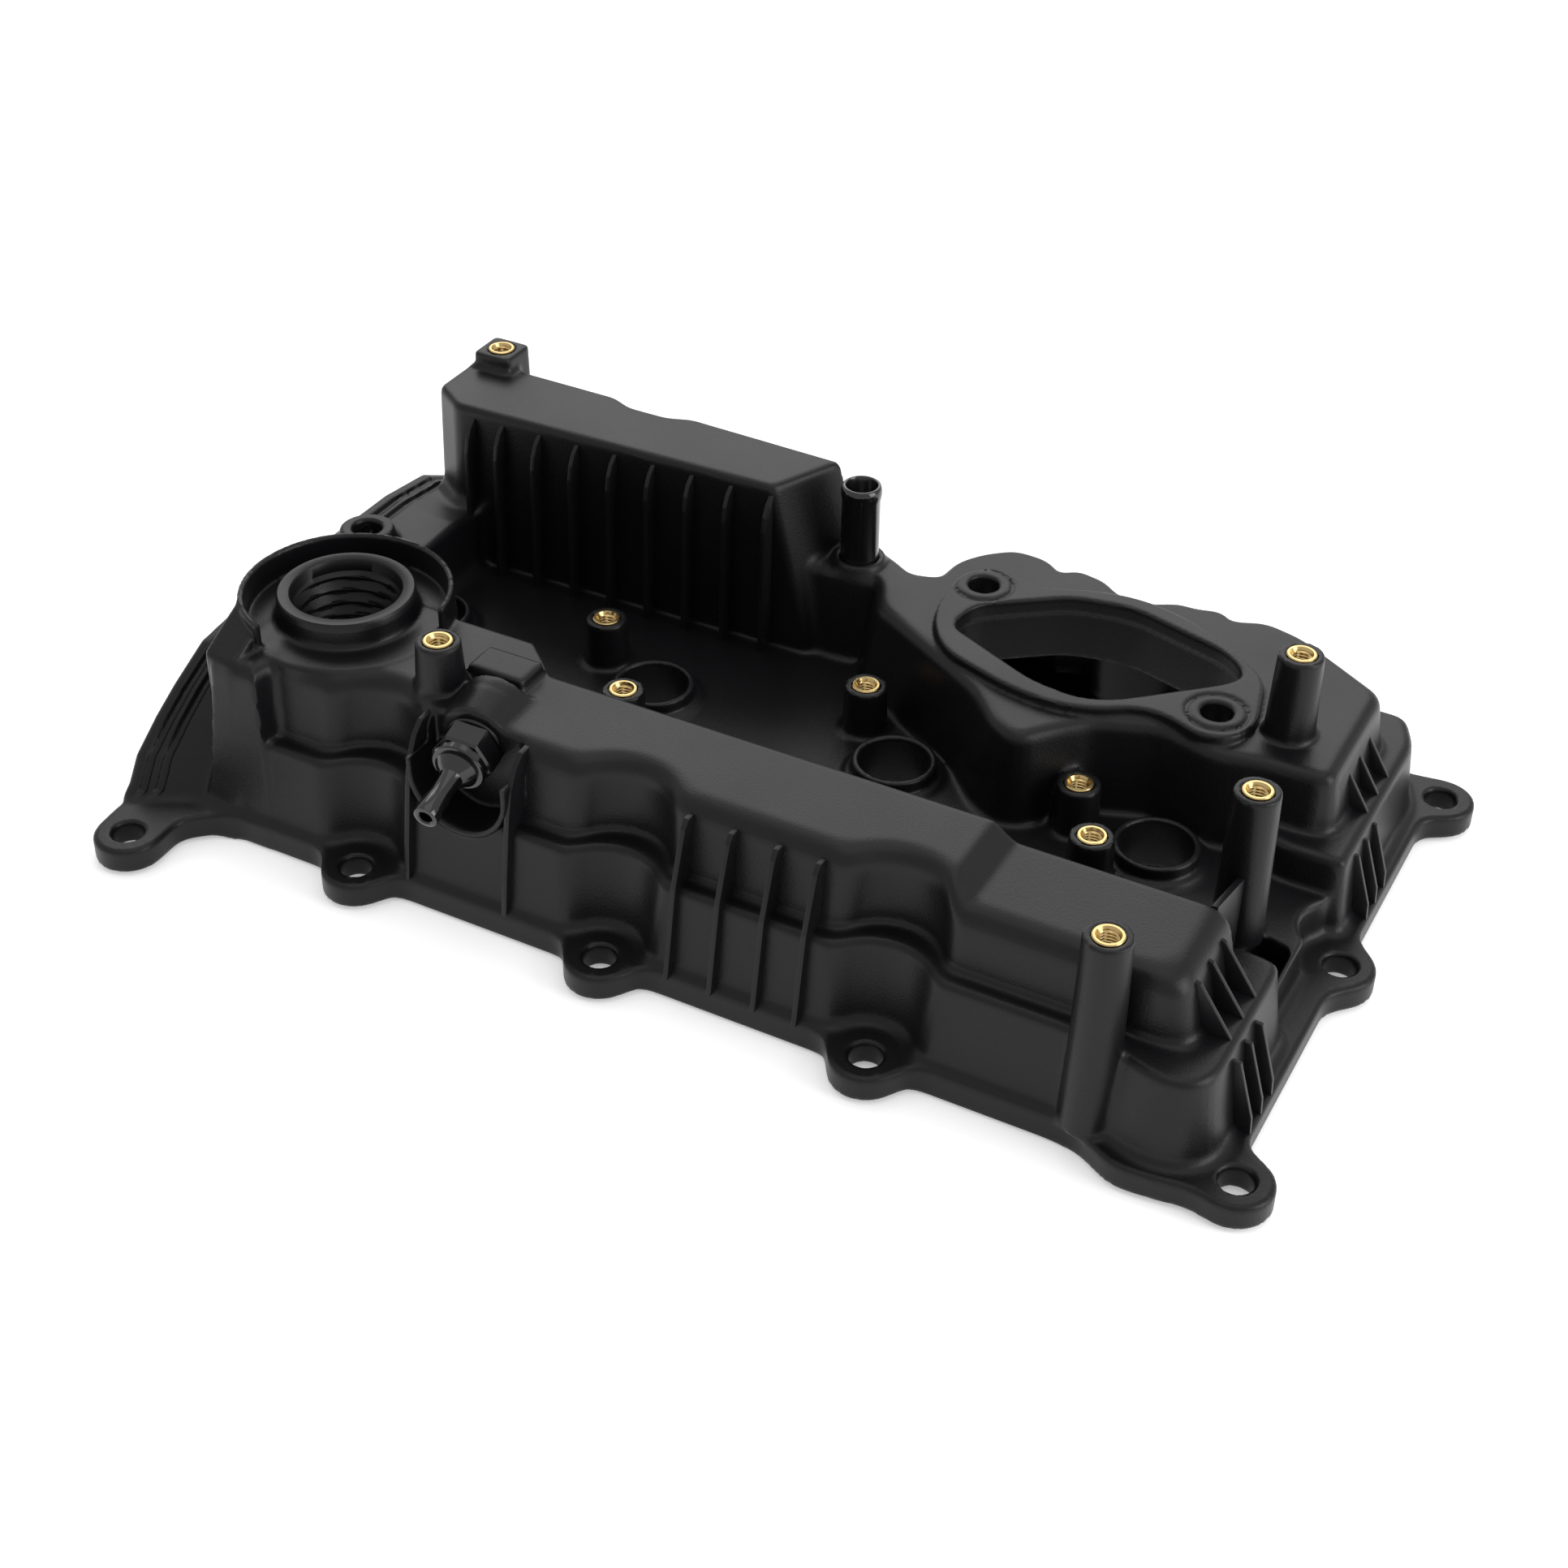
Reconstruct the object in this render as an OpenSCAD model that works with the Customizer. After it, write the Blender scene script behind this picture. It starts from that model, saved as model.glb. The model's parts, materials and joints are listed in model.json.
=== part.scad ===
// Camshaft cover (valve cover) for a four-cylinder engine, with its fitted pieces.
// Lengths are in mm and +Z is up. Shapes are drawn from the plug line (y = 0, x = 0
// midway between plugs 2 and 3, z = 0 at the plug tube rims) and moved to the row frame.

/* [Engine pattern] */
// Distance between neighbouring plug tubes and between the front cover bolts
cylinder_pitch = 85; // [82:0.5:88]
// Height of the roof over the front camshaft, from the plug tube rims
front_roof_z = 32; // [28:0.5:36]
// Height of the top of the oil separator box
separator_top_z = 52; // [46:0.5:58]
// Height of the plateau around the pump opening
pump_roof_z = 24; // [20:0.5:28]

/* [Flange] */
// Thickness of the sealing flange
flange_t = 8; // [6:0.5:10]
// Diameter of each cover bolt hole
bolt_hole_d = 9.8; // [8:0.1:11]
// Outer radius of each bolt ear
ear_r = 10.5; // [9:0.5:12]
// Height that the loose gasket stands below the flange
gasket_proud = 1; // [0.4:0.1:1.6]

/* [Walls] */
// Thickness of the moulded walls
wall = 3; // [2:0.2:4]
// Height of the step between the lower and the upper walls
ledge_z = 7; // [3:0.5:10]

/* [Plug tubes] */
// Bore of each plug tube
plug_bore_d = 22; // [20:0.5:23]
// Outer diameter of each plug tube at its rim
plug_rim_d = 26; // [25:0.5:28]

/* [Inserts] */
// Outer diameter of the brass inserts
insert_d = 9; // [8:0.1:10]
// Tapped bore of the brass inserts
insert_bore_d = 5.2; // [4.8:0.1:6]
// Length of the brass inserts
insert_len = 12; // [8:0.5:14]

/* [Filler] */
// Clear bore of the oil filler neck
filler_bore_d = 32; // [28:0.5:34]
// Outer diameter of the neck at its rim
filler_d = 42; // [38:0.5:44]

/* [Ventilation valve] */
// Outer diameter at the hose nozzle tip
nozzle_d = 7.7; // [6:0.1:9]
// Travel of the sprung plunger
plunger_travel = 3; // [1:0.5:3]

/* [View] */
// Name of the one node to draw, or all of them

/* [Hidden] */
$fn = 48;
shift = [-15.75, 6, 28];
z_top = -19;
z_bot = z_top - flange_t;
floor_z = -9;
lobe_z = front_roof_z - 5;
pitch = cylinder_pitch;
plug_x = [-1.5 * pitch, -0.5 * pitch, 0.5 * pitch, 1.5 * pitch];
ear_a_at = [-155, -123];
ear_e_at = [190, -99];
ear_f_at = [187, -4];
ear_g_at = [190, 88];
ear_j_at = [-152, 111];
front_ears_y = -103;
rear_ears_y = 98;
arch_ear_at = [-155, 5.5];
filler_at = [-118.5, -53];
filler_top = front_roof_z + 8.5;
post_at = [[-72, -71], [147.5, -97], [160, -21], [151.5, 38]];
post_top = [front_roof_z + 15, 44.5, 44.5, pump_roof_z + 27.5];
post_base = [front_roof_z, z_top, floor_z + 3, pump_roof_z];
lug_at = [-146, 76];
lug_top = separator_top_z + 5.5;
boss_at = [[101, 3], [114, -18.5], [-41, -20.5], [-66.5, 11.5], [23.5, 18]];
boss_top = 10;
pump_bolt = [[41.5, 64], [130.6, 33.5]];
pump_top = pump_roof_z + 3;
pipe_at = [-1.5, 62];
valve_at = [-52, -88, 24.5];
valve_turn = [100.1, 0, 6.8];

// ---- shared shapes ----
module placed() translate(shift) children();
module slab(z0, z1) translate([0, 0, z0]) linear_extrude(z1 - z0) children();
module box(a, b) translate(a) cube([b[0] - a[0], b[1] - a[1], b[2] - a[2]]);
module along_x(x0, x1) translate([x0, 0, 0]) rotate([90, 0, 90]) linear_extrude(x1 - x0) children();
module span(x0, y0, x1, y1) translate([x0, y0]) square([x1 - x0, y1 - y0]);
module shell2(t) difference() { children(); offset(delta = -t) children(); }
module plastic() color("#24262b") children();
module brass() color("#b08a3c") children();

// Three wall recesses around the bolts of one long side
module recesses(y, depth) for (i = [-1:1]) translate([i * pitch, y]) scale([1, depth / 16]) circle(r = 16);

// Outline of the lower walls, seen from above
module lower_plan() difference() {
  offset(r = 4) offset(delta = -4)
    polygon([[-143, -97], [150, -97], [160, -101], [178, -101], [183, -95], [183, -43], [183, 6], [183, 80],
      [175, 92], [-143, 92]]);
  recesses(-97, 8);
  recesses(92, 7);
}

// Outline of the front upper walls
module upper_plan() difference() {
  polygon([[-143, -94], [-120, -94], [-115, -87], [166, -85], [166, -51], [-143, -51]]);
  recesses(-87, 9);
}

// Outline of the raised block around the pump opening
module pump_plan() offset(r = 5) offset(delta = -5)
  polygon([[-27, 52], [-15, 46], [10, 46], [33, 33], [48, 22], [62, 14], [79, 0], [90, 9], [99, 17],
    [117, 22], [136, 19], [150, 21], [167, 23], [168, 68], [160, 82], [127, 89], [98, 88], [85, 82], [70, 86],
    [45, 89], [30, 84], [10, 76], [-27, 76]]);

module pump_opening() offset(r = 7) offset(delta = -7)
  polygon([[41, 41], [46, 56], [71, 75], [90, 78], [131, 60], [128, 47], [101, 23], [84, 19], [50, 33]]);

// Plan of the flange between its ears
module flange_plan() union() {
  polygon([[-143, -101], [145, -101], [160, -110], [180, -108], [188, -99], [188, 90], [180, 97],
    [-143, 97]]);
}
module gasket_edge() polygon([[-160, -96.5], [146, -96.5], [160, -104], [176, -103], [181.6, -97], [181.6, 88],
  [177, 92.5], [-160, 92.5]]);
module gasket_plan() difference() {
  gasket_edge();
  offset(delta = -3) gasket_edge();
  span(-170, -200, -143, 200);
}
module flange_hole() offset(delta = -12) flange_plan();
module ear_discs() {
  for (i = [-1:1]) {
    translate([i * pitch, front_ears_y]) circle(r = ear_r);
    translate([i * pitch, rear_ears_y]) circle(r = ear_r);
  }
  for (p = [ear_a_at, ear_e_at, ear_f_at, ear_g_at, ear_j_at]) translate(p) circle(r = ear_r);
}
module groove() slab(z_bot - 1, z_bot + 2) offset(delta = 0.1) gasket_plan();
module rail() difference() {
  slab(z_bot, z_top) difference() { intersection() { flange_plan(); children(); } flange_hole(); ear_discs(); }
  groove();
}
module ear(p) difference() {
  translate([p[0], p[1], z_bot]) cylinder(h = flange_t, r = ear_r);
  translate([p[0], p[1], z_bot - 1]) cylinder(h = flange_t + 2, d = bolt_hole_d);
  groove();
}
module column(p, z0, z1, r0, r1) difference() {
  translate([p[0], p[1], z0]) cylinder(h = z1 - z0, r1 = r0, r2 = r1);
  translate([p[0], p[1], z1 - insert_len]) cylinder(h = insert_len + 1, d = insert_d);
}
module insert_piece(p, z1) brass() placed() translate([p[0], p[1], z1 - insert_len]) difference() {
  cylinder(h = insert_len, d = insert_d);
  translate([0, 0, -1]) cylinder(h = insert_len + 2, d = insert_bore_d);
  translate([0, 0, insert_len - 1]) cylinder(h = 1.01, d1 = insert_bore_d, d2 = insert_bore_d + 2);
}
module valve_frame() translate(valve_at) rotate(valve_turn) children();

// ---- flange and bolt ears ----
module flange_front() plastic() placed() rail() span(-143, -120, 182, -88);
module flange_rear() plastic() placed() rail() span(-143, 84, 176, 99);
module flange_right() plastic() placed() rail() difference() {
  span(150, -120, 200, 99);
  span(150, -120, 182, -88);
  span(150, 84, 176, 99);
}
module flange_foot_front() plastic() placed() difference() {
  slab(z_bot, z_top) difference() {
    polygon([[-143, -101], [-143, -91], [-168, -91], [-168, -112], [-164, -130], [-149, -131], [-147, -112]]);
    ear_discs();
  }
  groove();
}
module flange_foot_rear() plastic() placed() difference() {
  slab(z_bot, z_top) difference() {
    polygon([[-143, 97], [-143, 87], [-168, 87], [-168, 99], [-161, 116], [-146, 116], [-144, 100]]);
    ear_discs();
  }
  groove();
}
module ears_front() plastic() placed() for (i = [-1:1]) ear([i * pitch, front_ears_y]);
module ears_rear() plastic() placed() for (i = [-1:1]) ear([i * pitch, rear_ears_y]);
module ears_right() plastic() placed() for (p = [ear_e_at, ear_f_at, ear_g_at]) ear(p);
module ears_left() plastic() placed() for (p = [ear_a_at, ear_j_at]) ear(p);
module arch_ear() plastic() placed() translate([arch_ear_at[0], arch_ear_at[1], 16]) difference() {
  cylinder(h = 5, r = 9);
  translate([0, 0, -1]) cylinder(h = 7, d = bolt_hole_d);
}

// ---- front camshaft tunnel ----
module front_wall_lower() plastic() placed() difference() {
  union() {
    slab(z_top, ledge_z) intersection() { shell2(wall) lower_plan(); span(-140, -110, 180, -82); }
    slab(ledge_z - wall, ledge_z) intersection() {
      difference() { offset(delta = -wall) lower_plan(); offset(delta = -wall) upper_plan(); }
      span(-140, -110, 166, -82);
    }
  }
  translate([post_at[1][0], post_at[1][1], z_top]) cylinder(h = 60, r = 8.05);
}
module front_wall_upper() plastic() placed() difference() {
  slab(ledge_z, lobe_z) intersection() {
    shell2(wall) upper_plan();
    union() { span(-140, -110, 163, -75); span(162, -110, 167, -81); }
  }
  valve_frame() cylinder(h = 40, r = 11, center = true);
}
module front_roof() plastic() placed() difference() {
  along_x(-140, 163) polygon([[-88, lobe_z], [-88, front_roof_z - 1.5], [-85, front_roof_z], [-51, front_roof_z],
    [-51, lobe_z]]);
  slab(lobe_z - 1, front_roof_z + 1) difference() { span(-150, -100, 170, -40); upper_plan(); }
  box([-137, -82, lobe_z - 1], [98, -54, front_roof_z - wall]);
  box([100, -100, lobe_z + 1.5], [170, -40, front_roof_z + 1]);
  translate([filler_at[0], filler_at[1], 0]) cylinder(h = 60, r = filler_d / 2 + 1.5);
  valve_frame() translate([0, 0, -22]) cylinder(h = 62, r = 11.2);
}
module front_inner_wall() plastic() placed() box([-140, -51, floor_z], [163, -51 + wall, lobe_z]);
module front_end_wall() plastic() placed() {
  box([163, -81, ledge_z], [166, -51, lobe_z]);
  box([163, -81, ledge_z - wall], [167, -51, ledge_z]);
  box([166, -95, ledge_z - wall], [183, -43, ledge_z]);
  box([180, -95, z_top], [183, -43, ledge_z - wall]);
  for (y = [-78, -69, -60]) translate([0, y, 0]) rotate([90, 0, 0]) linear_extrude(1.6)
    polygon([[166, ledge_z], [176, ledge_z], [166, ledge_z + 16]]);
  for (y = [-84, -75, -66]) translate([0, y, 0]) rotate([90, 0, 0]) linear_extrude(1.6)
    polygon([[183, z_top], [187.5, z_top], [183, ledge_z - 3]]);
}

// ---- valley between the tunnels ----
module valley_floor() plastic() placed() difference() {
  slab(floor_z, floor_z + wall) difference() {
    span(-140, -51 + wall, 176, 46);
    pump_plan();
    for (x = plug_x) translate([x, 0]) circle(r = 15.5);
    for (p = boss_at) translate(p) circle(r = 7);
    translate(post_at[2]) circle(r = 8);
  }
}
module valley_end_wall() plastic() placed() slab(z_top, floor_z + wall) difference() {
  span(176, -43, 180, 6);
  translate(ear_f_at) circle(r = 13);
}
module plug_wells() plastic() placed() for (x = plug_x) translate([x, 0, 0]) difference() {
  union() {
    translate([0, 0, z_bot + 2]) cylinder(h = 25 - 5, r = 15.5);
    translate([0, 0, -5]) cylinder(h = 5, d = plug_rim_d);
  }
  translate([0, 0, -50]) cylinder(h = 60, d = plug_bore_d);
  translate([0, 0, z_bot]) cylinder(h = 9, d = plug_rim_d);
}
module seal(i) color("#3a2a22") placed() translate([plug_x[i], 0, z_bot + 2]) difference() {
  cylinder(h = 7, d = plug_rim_d);
  translate([0, 0, -1]) cylinder(h = 9, d = plug_bore_d + 0.6);
}
module seal_1() seal(0);
module seal_2() seal(1);
module seal_3() seal(2);
module seal_4() seal(3);

// ---- rear camshaft tunnel ----
module rear_wall_lower() plastic() placed() {
  slab(z_top, ledge_z) intersection() { shell2(wall) lower_plan(); span(-140, 80, 180, 100); }
  slab(ledge_z - wall, ledge_z) intersection() {
    offset(delta = -wall) lower_plan();
    union() { span(-140, 74, 168, 92); span(167, 80, 176, 92); }
  }
}
module rear_wall_upper() plastic() placed() {
  slab(ledge_z, pump_roof_z - wall) intersection() { shell2(wall) pump_plan(); span(-24, 70, 166, 100); }
}
module arch_fill() along_x(-170, -143) arch_profile(0);
module lug_hole() translate([lug_at[0], lug_at[1], lug_top - insert_len]) cylinder(h = 40, d = insert_d);
module separator_front() plastic() placed() difference() {
  union() {
    along_x(-153, -27) polygon([[44, floor_z + wall], [44 + wall, floor_z + wall],
      [48 + wall, separator_top_z - wall], [48, separator_top_z - wall]]);
    for (i = [0:8]) along_x(-145.6 + 13.4 * i, -144 + 13.4 * i)
      polygon([[40.5, floor_z + wall], [45, floor_z + wall], [48, separator_top_z - 5],
        [46.8, separator_top_z - 5]]);
  }
  arch_fill();
  box([-143.1, 30, floor_z - 1], [-140, 60, 14]);
}
module separator_back() plastic() placed() difference() {
  box([-153, 76 - wall, ledge_z], [-27, 76, separator_top_z - wall]);
  arch_fill();
  lug_hole();
}
module separator_roof() plastic() placed() difference() {
  slab(separator_top_z - wall, separator_top_z) offset(r = 3) offset(delta = -3)
    polygon([[-153, 47.5], [-28, 49], [-16, 76], [-92, 76], [-85, 73], [-78, 76], [-153, 76]]);
  lug_hole();
  box([-140, 76, 40], [-139, 80, 60]);
}
module separator_end() plastic() placed() {
  difference() {
    box([-153, 51.1, ledge_z], [-150, 73, separator_top_z - wall]);
    arch_fill();
    lug_hole();
  }
  translate([0, 73, 0]) rotate([90, 0, 0]) linear_extrude(22) polygon([[-27, separator_top_z - wall],
    [-21, separator_top_z - wall], [-17, pump_roof_z], [-20, pump_roof_z], [-24, separator_top_z - 5],
    [-27, separator_top_z - 5]]);
}
module pump_front_wall() plastic() placed() slab(floor_z, pump_roof_z - wall) intersection() {
  shell2(wall) pump_plan();
  span(-24, -5, 165, 70);
}
module pump_roof() plastic() placed() difference() {
  union() {
    slab(pump_roof_z - wall, pump_roof_z) pump_plan();
    slab(pump_roof_z, pump_top) offset(r = 6) offset(delta = -6)
      polygon([[31, 60], [33, 72], [41, 78], [58, 72], [86, 80], [138, 66], [145, 34], [137, 22], [121, 24],
        [97, 13], [74, 14], [40, 28]]);
  }
  slab(0, 40) pump_opening();
  translate([post_at[3][0], post_at[3][1], pump_roof_z]) cylinder(h = 30, r = 8.05);
  for (p = pump_bolt) translate([p[0], p[1], 0]) cylinder(h = 40, r = 8.6);
  translate([pipe_at[0], pipe_at[1], 0]) cylinder(h = 40, r = 6.8);
}
module pump_pads() plastic() placed() for (p = pump_bolt) translate([p[0], p[1], pump_roof_z - 9]) difference() {
  cylinder(h = 12, r = 8.6);
  translate([0, 0, -1]) cylinder(h = 14, d = bolt_hole_d);
}
module rear_end_wall() plastic() placed() {
  box([165, 24, ledge_z], [168, 68, pump_roof_z - wall]);
  box([165, 24, ledge_z - wall], [169, 68, ledge_z]);
  box([168, 6, ledge_z - wall], [183, 80, ledge_z]);
  box([180, 6, z_top], [183, 80, ledge_z - wall]);
  for (y = [36, 46, 56]) translate([0, y, 0]) rotate([90, 0, 0]) linear_extrude(1.6)
    polygon([[168, ledge_z], [177, ledge_z], [168, ledge_z + 14]]);
  for (y = [22, 32, 42]) translate([0, y, 0]) rotate([90, 0, 0]) linear_extrude(1.6)
    polygon([[183, z_top], [187.5, z_top], [183, ledge_z - 3]]);
}

// ---- timing end ----
module left_end_wall() plastic() placed() {
  difference() {
    along_x(-143, -140) polygon([[-97, z_top], [-97, ledge_z], [-94, ledge_z], [-94, front_roof_z - 3],
      [-88, front_roof_z], [-51, front_roof_z], [-48, 14], [44, 14], [72.5, ledge_z], [92, ledge_z - 2],
      [92, z_top], [70, z_top], [44, -5], [-70, -5], [-82, z_top]]);
    translate([filler_at[0], filler_at[1], 20]) cylinder(h = 30, r = filler_d / 2 + 1.55);
    translate([plug_x[0], 0, -30]) cylinder(h = 40, r = 15.5);
  }
}
function arch_side(s, d) = [[s * (106 - d), z_bot], [s * (104 - d), -20], [s * (96 - d), -8 - d / 3],
  [s * (85 - d), 0 - d / 2], [s * (75 - d), 6 - d / 2], [s * (60 - d / 2), 14 - d], [s * 39, 16 - d]];
module arch_profile(d) translate([-6, 0]) polygon(concat(arch_side(-1, d),
  [for (i = [6:-1:0]) arch_side(1, d)[i]]));
module timing_arch() plastic() placed() difference() {
  along_x(-168, -143) difference() {
    arch_profile(0);
    arch_profile(5);
    span(-200, -50, 200, z_top);
  }
  for (x = [-164.5, -160]) along_x(x, x + 2) difference() { offset(delta = 5) arch_profile(0); arch_profile(1); }
  translate([arch_ear_at[0], arch_ear_at[1], 0]) cylinder(h = 40, d = bolt_hole_d);
}

// ---- filler, valve boss and posts ----
module filler_neck() plastic() placed() translate([filler_at[0], filler_at[1], lobe_z]) difference() {
  cylinder(h = filler_top - lobe_z, r1 = filler_d / 2 + 1.5, r2 = filler_d / 2);
  translate([0, 0, -1]) cylinder(h = 40, d = filler_bore_d);
}
module filler_dish() plastic() placed() translate([filler_at[0], filler_at[1], front_roof_z]) difference() {
  cylinder(h = 8.5, r = 32.5);
  translate([0, 0, -1]) cylinder(h = 12, r = 30.5);
  translate([-26, -60, -1]) cube([60, 55, 20]);
  translate([20, -60, -1]) cube([30, 62, 20]);
}
module valve_boss() plastic() placed() valve_frame() translate([0, 0, -18]) difference() {
  cylinder(h = 12.5, r = 11);
  translate([0, 0, -1]) cylinder(h = 15, r = 7);
}
module bracket_posts() plastic() placed()
  for (i = [0:3]) column(post_at[i], post_base[i], post_top[i], 8, 6.7);
module corner_lug() plastic() placed() difference() {
  union() {
    box([-153, 69, separator_top_z], [-139, 83, lug_top]);
    box([-153, 76, ledge_z + 12], [-139, 83, separator_top_z]);
  }
  lug_hole();
}
module coil_bosses() plastic() placed() for (p = boss_at) difference() {
  column(p, floor_z - 3, boss_top, 7, 6.6);
  translate([plug_x[1], 0, floor_z - 4]) cylinder(h = 30, r = 15.5);
}

// ---- separate pieces ----
module perimeter_gasket() color("#4a4d52") placed() slab(z_bot - gasket_proud, z_bot + 1.9) gasket_plan();
module insert_1() insert_piece(post_at[0], post_top[0]);
module insert_2() insert_piece(post_at[1], post_top[1]);
module insert_3() insert_piece(post_at[2], post_top[2]);
module insert_4() insert_piece(post_at[3], post_top[3]);
module insert_5() insert_piece(lug_at, lug_top);
module insert_6() insert_piece(boss_at[0], boss_top);
module insert_7() insert_piece(boss_at[1], boss_top);
module insert_8() insert_piece(boss_at[2], boss_top);
module insert_9() insert_piece(boss_at[3], boss_top);
module insert_10() insert_piece(boss_at[4], boss_top);
module breather_pipe() color("#17181b") placed() translate([pipe_at[0], pipe_at[1], 0]) difference() {
  union() {
    translate([0, 0, pump_roof_z - 12]) cylinder(h = 12, r = 6.8);
    translate([0, 0, pump_roof_z]) cylinder(h = separator_top_z - pump_roof_z, r = 6.2);
  }
  cylinder(h = 80, r = 5);
}
module separator_plate() color("#34373c") placed() box([-139.5, 48.4, ledge_z - wall - 2.2], [-28, 72.8, ledge_z - wall]);
module front_baffle() color("#34373c") placed() box([-92, -74.6, 12], [158, -51.1, 14]);
module valve_body() color("#15161a") placed() valve_frame() difference() {
  union() {
    translate([0, 0, -18]) cylinder(h = 14, r = 6.95);
    translate([0, 0, -4]) cylinder(h = 8, d = 19.6, $fn = 6);
    translate([0, 0, 4]) cylinder(h = 2.5, r = 8.2);
    translate([0, 0, 6.5]) cylinder(h = 4, r1 = 7, r2 = 4);
    cylinder(h = 25, r = 3.3);
    translate([0, 0, 22]) cylinder(h = 5, r = nozzle_d / 2);
  }
  translate([0, 0, -15.5]) cylinder(h = 17.5, r = 5.5);
  translate([0, 0, -19]) cylinder(h = 5, r = 5.5);
  cylinder(h = 40, r = 2);
}
module valve_seat() color("#1d1f24") placed() valve_frame() translate([0, 0, -18]) difference() {
  cylinder(h = 2.5, r = 5.5);
  translate([0, 0, -1]) cylinder(h = 5, r = 2.2);
}
module valve_plunger() color("#c9ccd1") placed() valve_frame() translate([0, 0, -15.3]) {
  cylinder(h = 2, r = 4.9);
  translate([0, 0, 2]) cylinder(h = 7, r = 2.2);
}
module valve_spring() color("#9aa0a8") placed() valve_frame() translate([0, 0, -13.1]) {
  for (k = [0:5]) translate([0, 0, 0.6 + 2.66 * k]) rotate_extrude($fn = 32) translate([3.6, 0]) circle(r = 0.5, $fn = 10);
  translate([3.6, 0, 0.6]) cylinder(h = 13.3, r = 0.4, $fn = 8);
}
module valve_ring() color("#202020") placed() valve_frame() translate([0, 0, -4.75]) rotate_extrude()
  translate([7.9, 0]) circle(r = 0.74, $fn = 16);

flange_front();
flange_rear();
flange_right();
flange_foot_front();
flange_foot_rear();
ears_front();
ears_rear();
ears_right();
ears_left();
arch_ear();
front_wall_lower();
front_wall_upper();
front_roof();
front_inner_wall();
front_end_wall();
valley_floor();
valley_end_wall();
plug_wells();
rear_wall_lower();
rear_wall_upper();
separator_front();
separator_back();
separator_roof();
separator_end();
pump_front_wall();
pump_roof();
pump_pads();
rear_end_wall();
left_end_wall();
timing_arch();
filler_neck();
filler_dish();
valve_boss();
bracket_posts();
corner_lug();
coil_bosses();
perimeter_gasket();
seal_1();
seal_2();
seal_3();
seal_4();
insert_1();
insert_2();
insert_3();
insert_4();
insert_5();
insert_6();
insert_7();
insert_8();
insert_9();
insert_10();
breather_pipe();
separator_plate();
front_baffle();
valve_body();
valve_plunger();
valve_spring();
valve_seat();
valve_ring();
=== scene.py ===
import json
import math
import bmesh
import bpy
import numpy as np
from mathutils import Matrix, Vector


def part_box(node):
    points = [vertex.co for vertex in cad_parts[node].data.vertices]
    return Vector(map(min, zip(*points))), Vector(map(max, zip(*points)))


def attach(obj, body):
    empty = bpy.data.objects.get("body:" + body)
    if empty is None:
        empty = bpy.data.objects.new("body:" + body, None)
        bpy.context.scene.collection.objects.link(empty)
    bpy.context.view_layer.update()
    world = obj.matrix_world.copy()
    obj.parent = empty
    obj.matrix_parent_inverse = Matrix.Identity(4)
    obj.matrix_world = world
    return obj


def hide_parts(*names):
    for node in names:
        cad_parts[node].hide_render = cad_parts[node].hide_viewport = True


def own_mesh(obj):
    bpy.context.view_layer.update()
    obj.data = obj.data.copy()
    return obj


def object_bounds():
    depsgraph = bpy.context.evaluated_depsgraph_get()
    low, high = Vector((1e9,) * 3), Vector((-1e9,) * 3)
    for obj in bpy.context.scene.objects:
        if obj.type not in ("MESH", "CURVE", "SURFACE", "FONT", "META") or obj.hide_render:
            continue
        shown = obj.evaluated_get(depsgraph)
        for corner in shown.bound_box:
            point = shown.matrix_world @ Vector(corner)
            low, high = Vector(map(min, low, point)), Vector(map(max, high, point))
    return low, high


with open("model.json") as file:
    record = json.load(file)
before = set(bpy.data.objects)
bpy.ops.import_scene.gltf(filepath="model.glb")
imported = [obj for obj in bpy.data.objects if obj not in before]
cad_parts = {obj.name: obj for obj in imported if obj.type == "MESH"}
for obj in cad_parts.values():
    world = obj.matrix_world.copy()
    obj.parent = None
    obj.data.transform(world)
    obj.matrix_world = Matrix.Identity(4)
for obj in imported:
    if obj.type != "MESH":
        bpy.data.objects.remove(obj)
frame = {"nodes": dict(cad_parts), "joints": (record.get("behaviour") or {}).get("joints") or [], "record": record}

print("stage: frame loaded")
cadLow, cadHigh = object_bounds()
scene = bpy.context.scene

# Lengths below are in millimetres from the plug line: x from midway between the middle plugs,
# y from the line of plugs, z from the rims of the plug tubes. place() turns them into the frame.
wellLow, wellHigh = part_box("plug_wells")
datum = Vector(((wellLow.x + wellHigh.x) / 2, (wellLow.y + wellHigh.y) / 2, wellHigh.z))
pitch = ((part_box("seal_4")[0].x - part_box("seal_1")[0].x) / 3) * 1000
plugX = [(i - 1.5) * pitch for i in range(4)]


def place(point):
    return Vector(point) / 1000 + datum


def level(node, end=1):
    return (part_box(node)[end].z - datum.z) * 1000


def middle(node):
    low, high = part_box(node)
    c = ((low + high) / 2 - datum) * 1000
    return c.x, c.y


flangeTop, flangeFoot = level("flange_front"), level("flange_front", 0)
roofTop = level("front_roof")
ledgeTop = level("front_wall_lower")
boxTop = level("separator_roof")
padTop = level("pump_roof")
plateauTop = level("pump_pads", 0) + 9
floorTop = level("valley_floor")
fillerX, fillerY = middle("filler_neck")
fillerTop = level("filler_neck")
pipeX, pipeY = middle("breather_pipe")
insertTops = [(*middle(f"insert_{i}"), level(f"insert_{i}")) for i in range(1, 11)]
mounts = {m["name"]: m for m in frame["record"]["mounts"]}


def mountPoint(name):
    p = (Vector(mounts[name]["pos_m"]) - datum) * 1000
    return p.x, p.y


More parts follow.
